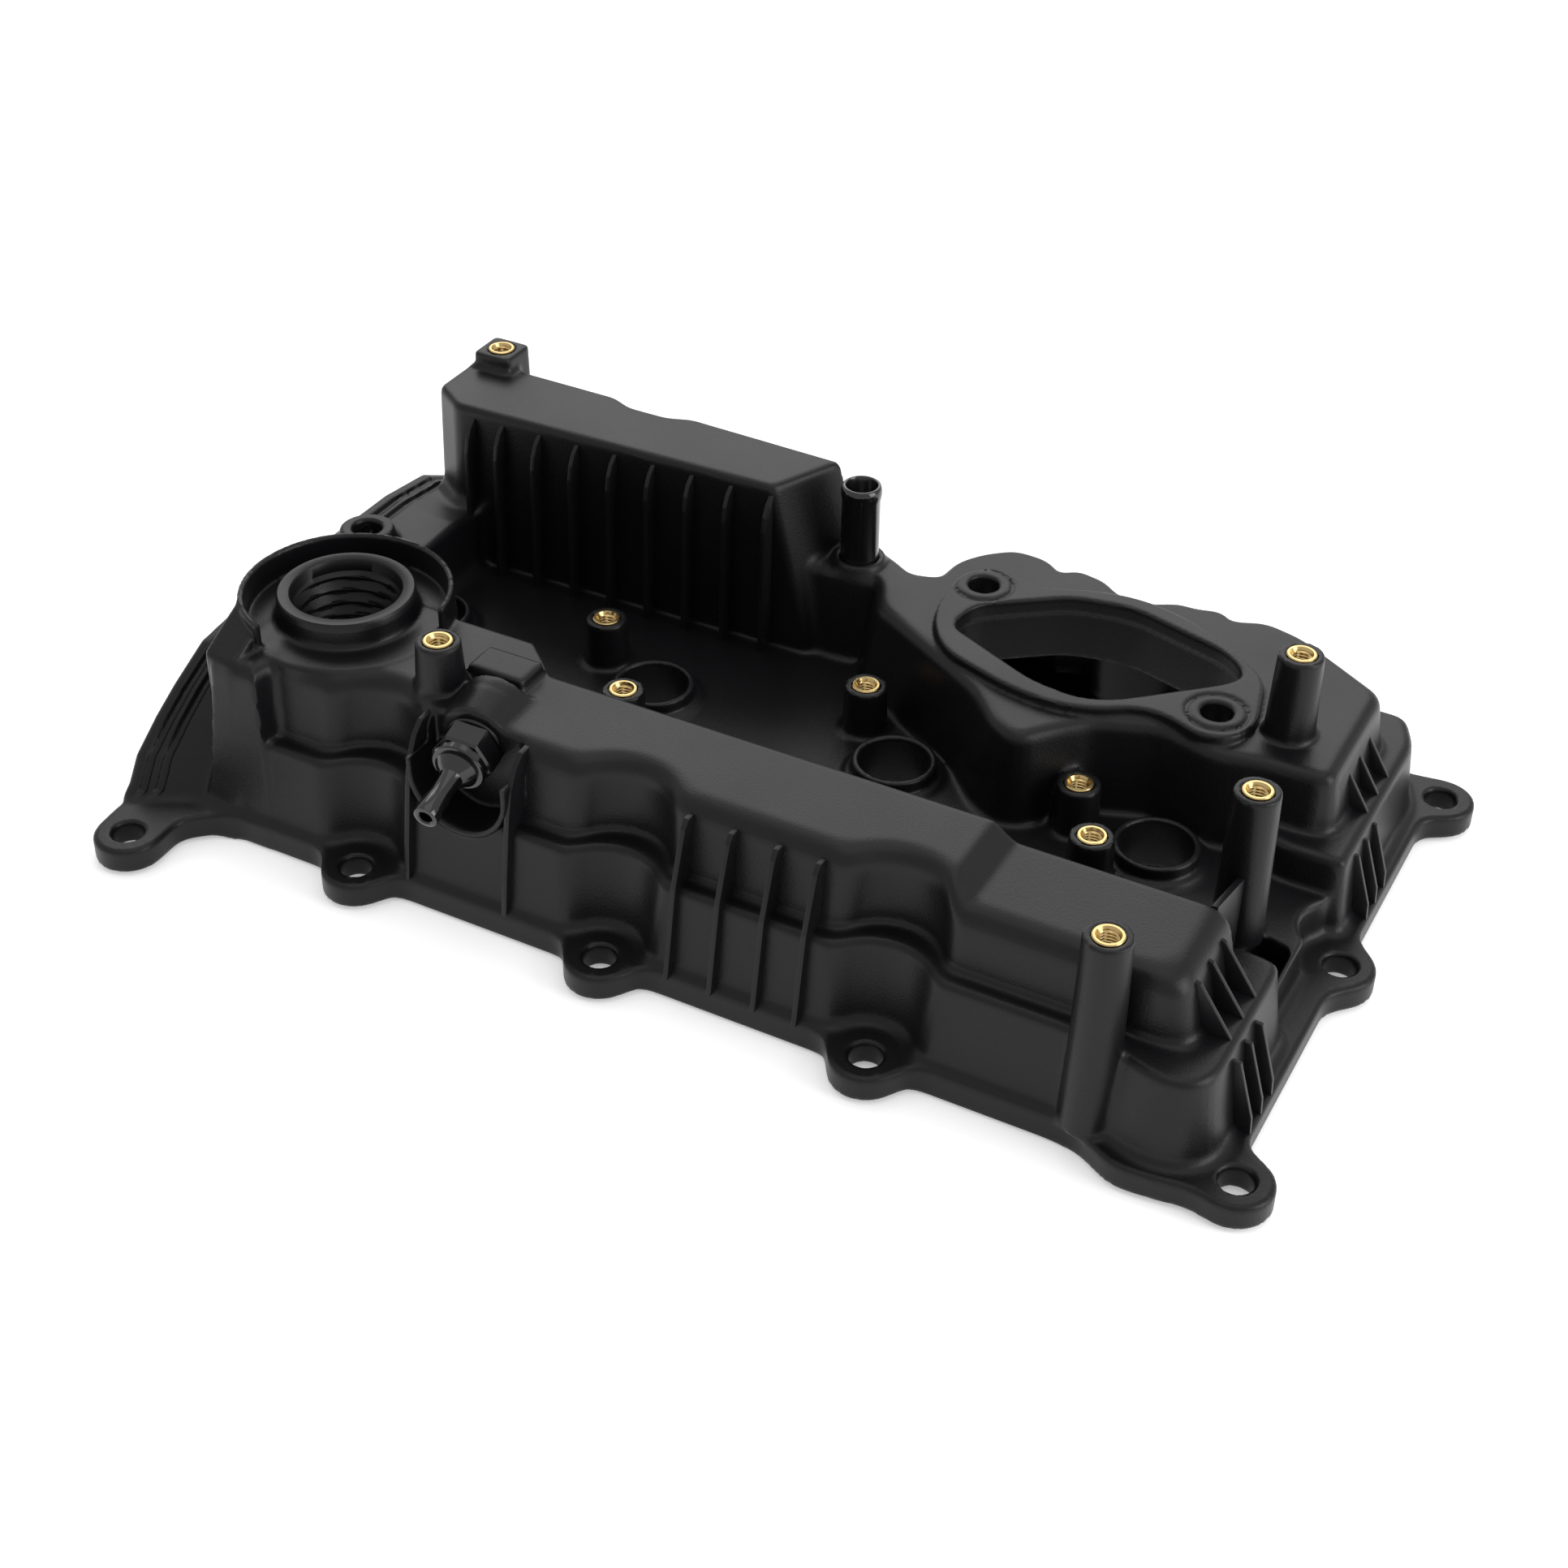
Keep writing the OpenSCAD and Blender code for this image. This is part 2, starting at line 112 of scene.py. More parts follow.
endX, endY = mountPoint("cover_bolts_end")
endHalf = mounts["cover_bolts_end"]["dims"]["spacing_y_mm"] / 2
frontMiddle, rearMiddle = mountPoint("cover_bolt_front_middle"), mountPoint("cover_bolt_rear_middle")
frontEars = [(frontMiddle[0] + i * pitch, frontMiddle[1]) for i in (-1, 0, 1)]
rearEars = [(rearMiddle[0] + i * pitch, rearMiddle[1]) for i in (-1, 0, 1)]
earA, earJ = mountPoint("cover_bolt_timing_front"), mountPoint("cover_bolt_timing_rear")
earE, earF, earG = (endX, endY - endHalf), mountPoint("cover_bolt_end_middle"), (endX, endY + endHalf)
ears = [*frontEars, *rearEars, earA, earJ, earE, earF, earG]
archEar = mountPoint("cover_bolt_timing_top")
padLow, padHigh = (((v - datum) * 1000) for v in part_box("pump_pads"))
padR = 8.6
pumpBolts = [(padLow.x + padR, padHigh.y - padR), (padHigh.x - padR, padLow.y + padR)]
boltR = mounts["cover_bolts_front"]["dims"]["hole_r_mm"]
posts, lug, bosses = insertTops[:4], insertTops[4], insertTops[5:]
valveAxis = Vector(frame["joints"][0]["axis"]).normalized()
valveHex = (Vector(mounts["valve_tail"]["pos_m"]) - datum) * 1000 - valveAxis * 24.5

# Camera: eye in the same millimetres, angles in degrees
cameraLook = {"eye": (293.3, -553.3, 442.2), "pitch": 36.73, "turn": 27.54, "roll": -0.93, "lens": 56.65}


def makeCamera():
    p, t, r = (math.radians(cameraLook[k]) for k in ("pitch", "turn", "roll"))
    forward = Vector((-math.sin(t) * math.cos(p), math.cos(t) * math.cos(p), -math.sin(p)))
    side = Vector((math.cos(t), math.sin(t), 0))
    down = forward.cross(side)
    right = side * math.cos(r) + down * math.sin(r)
    low = -side * math.sin(r) + down * math.cos(r)
    turn = Matrix((right, -low, -forward)).transposed()
    data = bpy.data.cameras.new("camera")
    data.lens, data.sensor_width = cameraLook["lens"], 36
    data.clip_start, data.clip_end = 0.05, 20
    cam = bpy.data.objects.new("camera", data)
    cam.matrix_world = Matrix.Translation(place(cameraLook["eye"])) @ turn.to_4x4()
    scene.collection.objects.link(cam)
    scene.camera = cam


makeCamera()
print("stage: camera placed")

# Distance fields for the moulding, in mm, negative inside
cell = 0.8
axes = [np.arange(a, b, cell, dtype=np.float32) for a, b in ((-186, 208), (-142, 127), (-31, 64))]


# Slices of the grid that cover a box, with room for the blends, and the grid's points there
def window(low, high, reach=11):
    cuts = tuple(slice(max(int((a - reach - g[0]) / cell), 0), max(int((b + reach - g[0]) / cell) + 1, 0))
                 for a, b, g in zip(low, high, axes))
    return cuts, *gridOf(cuts)


def gridOf(cuts):
    x, y, z = (g[c] for g, c in zip(axes, cuts))
    return x[:, None, None], y[None, :, None], z[None, None, :]


# Smooth minimum and maximum, k wide
def lowBlend(a, b, k):
    h = np.maximum(k - np.abs(a - b), 0)
    return np.minimum(a, b) - h * h / (4 * k)


def highBlend(a, b, k):
    return -lowBlend(-a, -b, k)


def join(field, part, k=2.0):
    cuts, value = part
    field[cuts] = lowBlend(field[cuts], value, k)


def carve(field, part, k=1.2):
    cuts, value = part
    field[cuts] = highBlend(field[cuts], -value, k)


# Distance to a closed outline
def outline(points, u, v):
    best, inside = 1e9, False
    for (au, av), (bu, bv) in zip(points, points[1:] + points[:1]):
        du, dv = bu - au, bv - av
        t = np.clip(((u - au) * du + (v - av) * dv) / (du * du + dv * dv), 0, 1)
        best = np.minimum(best, (u - au - t * du) ** 2 + (v - av - t * dv) ** 2)
        inside = inside ^ (((av > v) != (bv > v)) & (u < du * (v - av) / (dv or 1e-9) + au))
    return (np.where(inside, -1, 1) * np.sqrt(best)).astype(np.float32)


# The outline with its corners replaced by short curves
def soften(points, r):
    made = []
    for i, p in enumerate(points):
        a, p, b = Vector(points[i - 1]), Vector(p), Vector(points[(i + 1) % len(points)])
        start = p + (a - p) * min(0.48, r / (a - p).length)
        end = p + (b - p) * min(0.48, r / (b - p).length)
        made += [tuple(start.lerp(p, t).lerp(p.lerp(end, t), t)) for t in (0, 0.25, 0.5, 0.75, 1)]
    return made


# Upright block: lean is the draft from the base height, notches are round recesses in its side
def prism(points, bottom, top, base=0, lean=0.0, edge=2.0, corner=3.0, notches=()):
    if corner:
        points = soften(points, corner)
    us, vs = zip(*points)
    cuts, x, y, z = window((min(us), min(vs), bottom), (max(us), max(vs), top))
    side = outline(points, x, y) + lean * (z - base)
    for nx, ny, r, grow in notches:
        side = highBlend(side, r + grow * (z - base) - np.hypot(x - nx, y - ny), 4)
    return cuts, highBlend(highBlend(side, z - top, edge), bottom - z, 1)


def around(at, r, bottom, top):
    return window((at[0] - r, at[1] - r, bottom), (at[0] + r, at[1] + r, top))


def cone(at, bottom, top, lowR, topR, edge=1.0):
    cuts, x, y, z = around(at, lowR, bottom, top)
    r = lowR + (topR - lowR) * (z - bottom) / (top - bottom)
    return cuts, highBlend(np.hypot(x - at[0], y - at[1]) - r, np.maximum(z - top, bottom - z), edge)


def bore(at, bottom, top, r, edge=0.8):
    return cone(at, bottom, top, r, r, edge)


def ringCut(at, inner, outer, bottom, top):
    cuts, x, y, z = around(at, outer, bottom, top)
    r = np.hypot(x - at[0], y - at[1])
    return cuts, np.maximum(np.maximum(r - outer, inner - r), np.maximum(z - top, bottom - z))


# Cylinder along a slanting axis
def rod(centre, axis, back, front, r, edge=1.0):
    reach = abs(back) + abs(front) + r
    cuts, x, y, z = window([c - reach for c in centre], [c + reach for c in centre], 2)
    dx, dy, dz = x - centre[0], y - centre[1], z - centre[2]
    along = dx * axis[0] + dy * axis[1] + dz * axis[2]
    away = np.sqrt(np.maximum(dx ** 2 + dy ** 2 + dz ** 2 - along ** 2, 0))
    return cuts, highBlend(away - r, np.maximum(along - front, back - along), edge)


# The blocks the moulded walls follow. Each outline is seen from above.
wall = 3.0
below = -60
columnX = -143
upperRightX = 170
frontFootY, frontUpperY = -98.5, -88.6
lowerPlan = [(columnX, frontFootY), (140, frontFootY), (152, -100.5), (165, -105), (176, -103.5), (183, -95),
             (183, -42), (176, -38), (columnX, -38)]
columnPlan = [(columnX, frontFootY), (-119.5, frontFootY), (-118.5, -92), (-117, -86), (-117, -45),
              (columnX, -45)]
upperLeftX = -132
upperRear = [(-150, -200), (200, -200), (200, -52), (-46, -52), (-60, -39.5), (-100, -39.5), (-150, -39.5)]
wedgePlan = [(columnX + 0.8, -93), (-131.5, -94), (-130, -86), (-134, -70), (columnX + 0.2, -70)]
valleyPlan = [(-152, -60), (178, -60), (178, 60), (-152, 60)]
rearPlan = [(columnX, 60), (20, 60), (140, 20), (160, 7), (183, 7), (183, 78), (176, 93), (columnX, 93)]
boxPlan = [(-155.5, 51.8), (-143, 43.2), (-12, 47), (-4, 72), (-70, 74), (-78, 71), (-92, 71), (-100, 74.5),
           (-155.5, 75)]
plateauPlan = [(-30, 57), (-15, 54.5), (-2, 54), (7, 56), (11, 53), (16, 42), (25, 37), (42, 27), (62, 15),
               (74, 2), (82, -2), (90, 8), (99, 17), (117, 24), (136, 19), (150, 22), (169, 22.5),
               (168.5, 70), (149, 82), (138, 88.5), (126, 91.5), (116, 87), (111, 91), (104, 88.5),
               (69, 90), (63, 91.5), (57.5, 87), (51, 92.5), (40, 93), (32, 86), (27, 78), (26, 66),
               (16, 63), (6, 69), (-4, 73), (-30, 73)]
padPlan = [(38, 34), (33, 48), (32, 67), (38, 75), (48, 73.5), (58, 71), (72, 78), (88, 81), (106, 77),
           (137, 58), (143, 34), (140, 23), (130, 19.5), (119, 24.5), (109, 24.5), (99, 17.5), (86, 14),
           (70, 16), (47, 24)]
openingPlan = [(42, 38), (44, 52), (69, 71), (88, 74.5), (122, 65), (131, 57), (129, 50), (102, 25),
               (92, 20.5), (76, 22.5), (51, 34)]
recessPlan = [(165, -44), (176.2, -44), (176.2, -20), (165, -17)]
labelPlan = [(-68, -64.5), (-48, -64.5), (-48, -51.5), (-68, -51.5)]
lugPlan = [(lug[0] + i * 7, lug[1] + j * 7) for i, j in ((-1, -1), (1, -1), (1, 1), (-1, 1))]
archSide = [(106, flangeFoot), (104, -20), (96, -8), (85, 0), (75, 6), (60, 13.5), (39, 16)]
archMiddle = -6
flangePlan = [(-168, -98), (-165, -118), (-150, -119), (-143, -109), (-133, -101), (145, -101),
              (152, -105.5), (160, -110), (178, -108.5), (188, -99), (188, 90), (180, 97), (-138, 97),
              (-143, 104), (-160, 108), (-168, 96)]

# Measures of the moulding's round features
earR = 10.5
post = {"foot": 7.7, "top": 6.7}
coilBoss = {"foot": 7.2, "top": 6.6}
plugTube = {"collar": 15.5, "rim": 13, "bore": 11, "seal": 13}
valveBoss = {"r": 11, "front": -5.6, "bore": 7}
pocketBend = {"x": valveHex.x + 1, "z": 18, "inner": 15.2, "outer": 17}
insertBore = {"r": 4.45, "long": 12}


# Upper front wall, scalloped over the bolts, with the roof's step near its right end
def upperBlock():
    cuts, x, y, z = window((upperLeftX, -90, below), (upperRightX, -39, roofTop))
    front = frontUpperY - y + 0.1 * (z - ledgeTop)
    for earX, earY in frontEars:
        front = highBlend(front, 17.6 - np.hypot(x - earX, y + 95.5), 4)
    right = x - upperRightX + 0.22 * (z - ledgeTop)
    side = highBlend(highBlend(front, right, 9), upperLeftX - x, 1)
    step = np.clip((x - 95.5) / 10, 0, 1)
    top = z - roofTop + 5 * step ** 2 * (3 - 2 * step)
    return cuts, highBlend(highBlend(side, top, 7), outline(upperRear, x, y), 1.2)


# Sloping web between the filler dish and the front wall
def wedge():
    cuts, x, y, z = window((columnX, -95, 20), (-128, -56, 41))
    side = outline(soften(wedgePlan, 2), x, y)
    side = np.maximum(side, 31.6 - np.hypot(x - fillerX, y - fillerY))
    return cuts, highBlend(highBlend(side, z - 32.6 - 8 * (y + 93) / 17, 1.5), 15 - z, 1)


def separatorBox():
    cuts, field = prism(boxPlan, below, boxTop, boxTop, 0.03, 2.5, 2.5)
    x, y, z = gridOf(cuts)
    end = 0.91 * (x + 25.5) - 0.41 * (y - 46.5) + 0.25 * (z - boxTop)
    return cuts, highBlend(field, end, 2)


# Arch over the timing drive, or with an inset the thin skin that a groove in it takes away
def archBlock(low, high, inset=0.0, edge=2.0):
    cuts, x, y, z = window((low, -115, -31), (high, 105, 18))
    points = [(archMiddle + s * v, h) for s, run in ((-1, archSide), (1, archSide[::-1])) for v, h in run]
    v = archMiddle + (y - archMiddle) * (1 + 0.12 * np.clip((x + 164) / 20, 0, 1))
    side = outline([(points[0][0], below)] + points + [(points[-1][0], below)], v, z)
    ends = np.maximum(x - high, low - x)
    if inset:
        skin = np.maximum(-(side + inset), side - 2)
        return cuts, np.maximum(np.maximum(skin, ends), flangeTop + 1 - z)
    return cuts, highBlend(side, ends, edge)


def flange():
    cuts, x, y, z = window((-175, -140, flangeFoot), (206, 124, flangeTop))
    plan = side = outline(soften(flangePlan, 6), x, y)
    for earX, earY in ears:
        side = lowBlend(side, np.hypot(x - earX, y - earY) - earR, 9)
    side = np.maximum(side, -(plan + 13))
    return cuts, highBlend(highBlend(side, z - flangeTop, 1.5), flangeFoot - z, 0.8)


# Open ring round the filler neck
def dish(inner, outer, bottom, top, edge=0.9):
    cuts, x, y, z = around((fillerX, fillerY), outer, bottom, top)
    r = np.hypot(x - fillerX, y - fillerY)
    angle = np.degrees(np.arctan2(y - fillerY, x - fillerX)) % 360
    gap = np.radians(np.maximum(7 - angle, angle - 251)) * outer
    gap = np.where(angle > 305, np.radians(367 - angle) * outer, gap)
    ring = highBlend(np.maximum(r - outer, inner - r), z - top, edge)
    return cuts, np.maximum(np.maximum(ring, bottom - z), gap)


# Recess for the valve, round below and straight above, and the lip round it
def pocketReach(x, z):
    across = x - pocketBend["x"]
    return np.where(z < pocketBend["z"], np.hypot(across, z - pocketBend["z"]), np.abs(across))


def pocket(inner, back):
    cuts, x, y, z = window((pocketBend["x"] - inner, -112, 0), (pocketBend["x"] + inner, back, roofTop))
    return cuts, np.maximum(pocketReach(x, z) - inner, y - back)


def lip(inner, outer, front, back):
    cuts, x, y, z = window((pocketBend["x"] - outer, front, 0), (pocketBend["x"] + outer, back, 26))
    r = pocketReach(x, z)
    ends = np.maximum(np.maximum(front - y, y - back), z - 23)
    return cuts, highBlend(np.maximum(r - outer, inner - r), ends, 0.9)


# Wall that hangs below the pump opening
def skirt(inner, outer, bottom, top):
    cuts, x, y, z = window((30, 8, bottom), (144, 86, top))
    side = outline(soften(openingPlan, 6), x, y)
    return cuts, np.maximum(np.maximum(side - outer, inner - side), np.maximum(z - top, bottom - z))


# Outer shape first, then its shell, then what is added to the shell, then every hole
def mouldField():
    outer = np.full([len(a) for a in axes], 60, np.float32)
    earNotches = [(x, -103.5, 13.5, 0.135) for x, _ in frontEars]
    rearNotches = [(x, rearMiddle[1] + 1, 14, 0.1) for x, _ in rearEars]
    join(outer, prism(valleyPlan, below, floorTop, edge=1, corner=0), 1)
    join(outer, prism(lowerPlan, below, ledgeTop + 0.6, flangeTop, 0.135, 2.5, 7, earNotches), 2)
    join(outer, prism(columnPlan, below, roofTop, flangeTop, 0.09, 5, 1.5), 2)
    join(outer, upperBlock(), 2.2)
    join(outer, cone((fillerX, fillerY), below, roofTop, 33.5, 32.7, 1.2), 1.2)
    join(outer, wedge(), 2)
    join(outer, prism(rearPlan, below, ledgeTop - 1.5, flangeTop, 0.1, 3, 6, rearNotches), 2)
    join(outer, separatorBox(), 2)
    clearance = [(x, y, 13, 0) for x, y in rearEars]
    join(outer, prism(plateauPlan, below, plateauTop, plateauTop + 9, 0.16, 4, 4, clearance), 2.5)
    join(outer, archBlock(-168, columnX + 8), 6)
    carve(outer, bore(earF, -40, 20, 13), 2)
    carve(outer, prism(recessPlan, -16.5, 0, corner=3, edge=1), 1.5)
    join(outer, rod(valveHex, valveAxis, -22, valveBoss["front"], valveBoss["r"], 1), 3)
    carve(outer, pocket(15.4, -83), 1)
    join(outer, rod(valveHex, valveAxis, -16, valveBoss["front"], valveBoss["r"], 0.8), 1.2)
    total = np.maximum(outer, -(outer + wall))
    del outer
    cuts, x, y, z = window((-186, -142, -31), (208, 127, flangeFoot), 1)
    total[cuts] = np.maximum(total[cuts], flangeFoot - z)
    join(total, flange(), 3.5)
    join(total, prism(padPlan, plateauTop - 2, padTop, padTop, 0.05, 0.8, 7), 0.8)
    join(total, cone((fillerX, fillerY), 10, fillerTop, 22.8, 21, 0.8), 2)
    join(total, dish(30.6, 32.6, roofTop - 6, fillerTop + 0.5), 1)
    join(total, prism(labelPlan, 26, roofTop + 4, roofTop, 0.1, 1.5, 2), 1.5)
    for (px, py, top), bottom in zip(posts, (roofTop - 2, flangeTop - 1, floorTop - 1, plateauTop - 2)):
        join(total, cone((px, py), bottom, top, post["foot"], post["top"], 0.7), 1.8)
    for bx, by, top in bosses:
        join(total, cone((bx, by), floorTop - 1, top, coilBoss["foot"], coilBoss["top"], 0.7), 2.5)
    join(total, prism(lugPlan, boxTop - 34, lug[2], lug[2], 0.02, 1.2, 2), 3)
    for px in plugX:
        join(total, cone((px, 0), flangeFoot + 2, -4.5, plugTube["collar"], plugTube["collar"], 1.5), 1.5)
        join(total, cone((px, 0), -8, 0, plugTube["rim"], plugTube["rim"], 0.7), 1)
    join(total, cone((pipeX, pipeY), plateauTop - 8, plateauTop + 2.2, 9, 8.4, 1.2), 2)
    join(total, cone(archEar, 10, 21, 10, 9, 1), 3)
    join(total, rod(valveHex, valveAxis, -20, valveBoss["front"], valveBoss["r"], 0.8), 0.8)
    join(total, lip(pocketBend["inner"], pocketBend["outer"], -97, -80), 1)
    for p in ears:
        carve(total, bore(p, -40, flangeTop + 4, boltR), 0.7)
    for p in pumpBolts:
        join(total, cone(p, plateauTop - 9, padTop, padR, padR, 0.6), 0.6)
        carve(total, ringCut(p, 8.7, 9.6, padTop - 0.8, padTop + 3), 0.5)
        carve(total, bore(p, -10, 40, boltR), 0.7)
    carve(total, bore(archEar, 5, 30, boltR), 0.7)
    for ix, iy, top in insertTops:
        carve(total, bore((ix, iy), top - insertBore["long"], top + 6, insertBore["r"]), 0.4)
    for px in plugX:
        carve(total, bore((px, 0), -50, 20, plugTube["bore"]), 0.6)
        carve(total, bore((px, 0), -50, flangeFoot + 9, plugTube["seal"]), 0.6)
    carve(total, bore((fillerX, fillerY), 5, 60, 17.6), 0.6)
    carve(total, bore((pipeX, pipeY), 0, 40, 6.3), 0.6)
    carve(total, rod(valveHex, valveAxis, -18.3, 2, valveBoss["bore"]), 0.6)
    carve(total, prism(openingPlan, 0, 40, corner=6, edge=1), 1)
    join(total, skirt(1.6, 4, 4, plateauTop - 3), 1)
    for x in (-163.6, -159.4):
        carve(total, archBlock(x, x + 2.2, 1.4), 0.8)
    return total


# Skin of the field: one point in each cell it passes through, one face across each grid edge it cuts
def surface(field):
    inside = field < 0
    n = [s - 1 for s in field.shape]
    corners = [(i, j, k) for i in (0, 1) for j in (0, 1) for k in (0, 1)]
    count = np.zeros(n, np.int8)
    for i, j, k in corners:
        count += inside[i:i + n[0], j:j + n[1], k:k + n[2]]
    at = np.argwhere((count > 0) & (count < 8))
    number = np.full(n, -1, np.int32)
    number[tuple(at.T)] = np.arange(len(at))
    values = {c: field[at[:, 0] + c[0], at[:, 1] + c[1], at[:, 2] + c[2]] for c in corners}
    total, hits = np.zeros((len(at), 3)), np.zeros(len(at))
    for a in corners:
        for axis in range(3):
            if a[axis]:
                continue
            b = tuple(v + (m == axis) for m, v in enumerate(a))
            va, vb = values[a], values[b]
            cross = (va < 0) != (vb < 0)
            t = np.where(cross, va / np.where(cross, va - vb, 1), 0)
            point = np.array(a)[None, :] + t[:, None] * np.eye(3)[axis][None, :]
            total += np.where(cross[:, None], point, 0)
            hits += cross
    points = (at + total / hits[:, None]) * cell + np.array([g[0] for g in axes])
    faces = []
    for axis in range(3):
        u, v = (axis + 1) % 3, (axis + 2) % 3
        low = np.take(inside, range(0, field.shape[axis] - 1), axis)
        high = np.take(inside, range(1, field.shape[axis]), axis)
        for way in (0, 1):
            edges = np.argwhere((low & ~high) if way == 0 else (high & ~low))
            edges = edges[(edges[:, u] > 0) & (edges[:, v] > 0) & (edges[:, u] < n[u]) & (edges[:, v] < n[v])]
            quad = []
            for du, dv in ((1, 1), (0, 1), (0, 0), (1, 0)):
                q = edges.copy()
                q[:, u] -= du
                q[:, v] -= dv
                quad.append(number[tuple(q.T)])
            quad = np.stack(quad if way == 0 else quad[::-1], 1)
            faces.append(quad)
    return points, np.concatenate(faces)


def meshFrom(name, points, faces):
    mesh = bpy.data.meshes.new(name)
    mesh.vertices.add(len(points))
    mesh.vertices.foreach_set("co", (np.asarray(points) / 1000).astype(np.float32).ravel())
    mesh.loops.add(faces.size)
    mesh.loops.foreach_set("vertex_index", faces.astype(np.int32).ravel())
    mesh.polygons.add(len(faces))
    mesh.polygons.foreach_set("loop_start", np.arange(0, faces.size, faces.shape[1], dtype=np.int32))
    mesh.update(calc_edges=True)
    mesh.shade_smooth()
    obj = bpy.data.objects.new(name, mesh)
    obj.location = datum
    scene.collection.objects.link(obj)
    return obj


coverPoints, coverFaces = surface(mouldField())
print("stage: moulding field", len(coverPoints))
cover = meshFrom("cover_moulding", coverPoints, coverFaces)
print("stage: moulding mesh")


# Crisp features of the moulding: ribs, fins and gussets, each a thin plate
def plate(points, thick):
    made = [Vector(p) for p in points]
    n = len(made)
    faces = [tuple(range(n))[::-1], tuple(range(n, 2 * n))]
    faces += [(i, (i + 1) % n, n + (i + 1) % n, n + i) for i in range(n)]
    return [p - Vector(thick) / 2 for p in made] + [p + Vector(thick) / 2 for p in made], faces


def addPlates(obj, plates, bevel=0.35):
    bm = bmesh.new()
    for points, faces in plates:
        verts = [bm.verts.new(p / 1000) for p in points]
        for f in faces:
            bm.faces.new([verts[i] for i in f])
    bmesh.ops.recalc_face_normals(bm, faces=bm.faces)
    bmesh.ops.bevel(bm, geom=bm.edges[:], offset=bevel / 1000, segments=2, profile=0.6, affect="EDGES")
    for f in bm.faces:
        f.smooth = True
    addMesh(obj, bm)


def addMesh(obj, bm):
    made = bpy.data.meshes.new("part")
    bm.to_mesh(made)
    bm.free()
    other = bpy.data.objects.new("part", made)
    other.location = obj.location
    scene.collection.objects.link(other)
    with bpy.context.temp_override(active_object=obj, selected_editable_objects=[obj, other]):
        bpy.ops.object.join()


ribX = (21, 35, 49, 62)
finX = (valveHex.x - 16.2, valveHex.x + 18)
plates = [plate([(x, -90, flangeTop - 1), (x, -102.4, flangeTop - 1), (x, -101.6, flangeTop + 2), (x, -97, 9),
                 (x, -91, 26), (x, -89, 28.5), (x, -85, 28.5)], (1.7, 0, 0)) for x in ribX]
for x in finX:
    plates.append(plate([(x, -80, flangeTop - 1), (x, -101, flangeTop - 1), (x, -99.5, -8), (x, -96.5, 12),
                         (x, -94.5, 21), (x, -91, 27.5), (x, -87.5, 30.5), (x, -80, 31)], (1.8, 0, 0)))
for y in (-78, -68.5, -59):
    plates.append(plate([(162, y, ledgeTop - 2), (178.5, y, ledgeTop - 2), (178.5, y, ledgeTop - 0.5),
                         (167.5, y, 22.5), (162, y, 24)], (0, 1.4, 0)))
for y in (-81, -72.5, -64):
    plates.append(plate([(180, y, flangeTop - 1), (187.6, y, flangeTop - 1), (187.2, y, -14), (182, y, 3.5),
                         (178, y, 4)], (0, 1.4, 0)))
for y in (37, 47, 57):
    plates.append(plate([(165, y, ledgeTop - 4), (179, y, ledgeTop - 4), (179, y, ledgeTop - 2),
                         (170.5, y, 18.5), (165, y, 20)], (0, 1.4, 0)))
for y in (20, 28.5, 37):
    plates.append(plate([(180, y, flangeTop - 1), (187.6, y, flangeTop - 1), (187.2, y, -14), (182, y, 2),
                         (178, y, 2.5)], (0, 1.4, 0)))
for i in range(9):
    x = -136.3 if i == 0 else -125.1 + 14.2 * (i - 1)
    front = 43.3 + 3.2 * (x + 143) / 121
    plates.append(plate([(x, front + 3, floorTop - 1), (x, front - 7.5, floorTop - 1), (x, front - 6.4, 20),
                         (x, front - 5.6, 38), (x, front - 4.6, 43), (x, front - 2.8, 46.5),
                         (x, front - 0.2, 48.8), (x, front + 3, 49.2)], (1.5, 0, 0)))
postY = posts[2][1]
plates.append(plate([(161, -53, floorTop), (161, -51, roofTop - 6), (161, postY - 7, 19.5),
                     (161, postY - 6, floorTop)], (2, 0, 0)))
addPlates(cover, plates)


# Turned pieces: (radius, height, thread weight) round an axis
def turned(profile, steps=72, threadPitch=1.0, closed=True):
    rows = np.array([(*p, 0)[:3] for p in profile], float)
    turns = np.linspace(0, 2 * np.pi, steps, endpoint=False)
    phase = (rows[:, 1][:, None] / threadPitch - turns[None, :] / (2 * np.pi)) % 1
    r = rows[:, 0][:, None] + rows[:, 2][:, None] * (np.abs(phase * 4 - 2) - 1)
    points = np.stack([r * np.cos(turns), r * np.sin(turns), np.repeat(rows[:, 1][:, None], steps, 1)], -1)
    n = len(rows)
    i, j = np.meshgrid(np.arange(n if closed else n - 1), np.arange(steps), indexing="ij")
    a, b = i * steps + j, i * steps + (j + 1) % steps
    c, d = ((i + 1) % n) * steps + (j + 1) % steps, ((i + 1) % n) * steps + j
    return points.reshape(-1, 3), np.stack([a, b, c, d], -1).reshape(-1, 4)


def grooves(r, top, bottom, depth, step):
    return [(r, h, depth) for h in np.arange(top, bottom, -step)]


def aimed(points, origin, axis=(0, 0, 1)):
    turn = np.array(Vector((0, 0, 1)).rotation_difference(Vector(axis)).to_matrix())
    return points @ turn.T + np.array(origin)


def piece(name, shape, origin, axis=(0, 0, 1), sharp=35):
    obj = meshFrom(name, aimed(shape[0], origin, axis), shape[1])
    bm = bmesh.new()
    bm.from_mesh(obj.data)
    bmesh.ops.recalc_face_normals(bm, faces=bm.faces)
    bm.to_mesh(obj.data)
    bm.free()
    obj.data.shade_smooth()
    obj.data.set_sharp_from_angle(angle=math.radians(sharp))
    return obj


def addShape(obj, other):
    with bpy.context.temp_override(active_object=obj, selected_editable_objects=[obj, other]):
        bpy.ops.object.join()


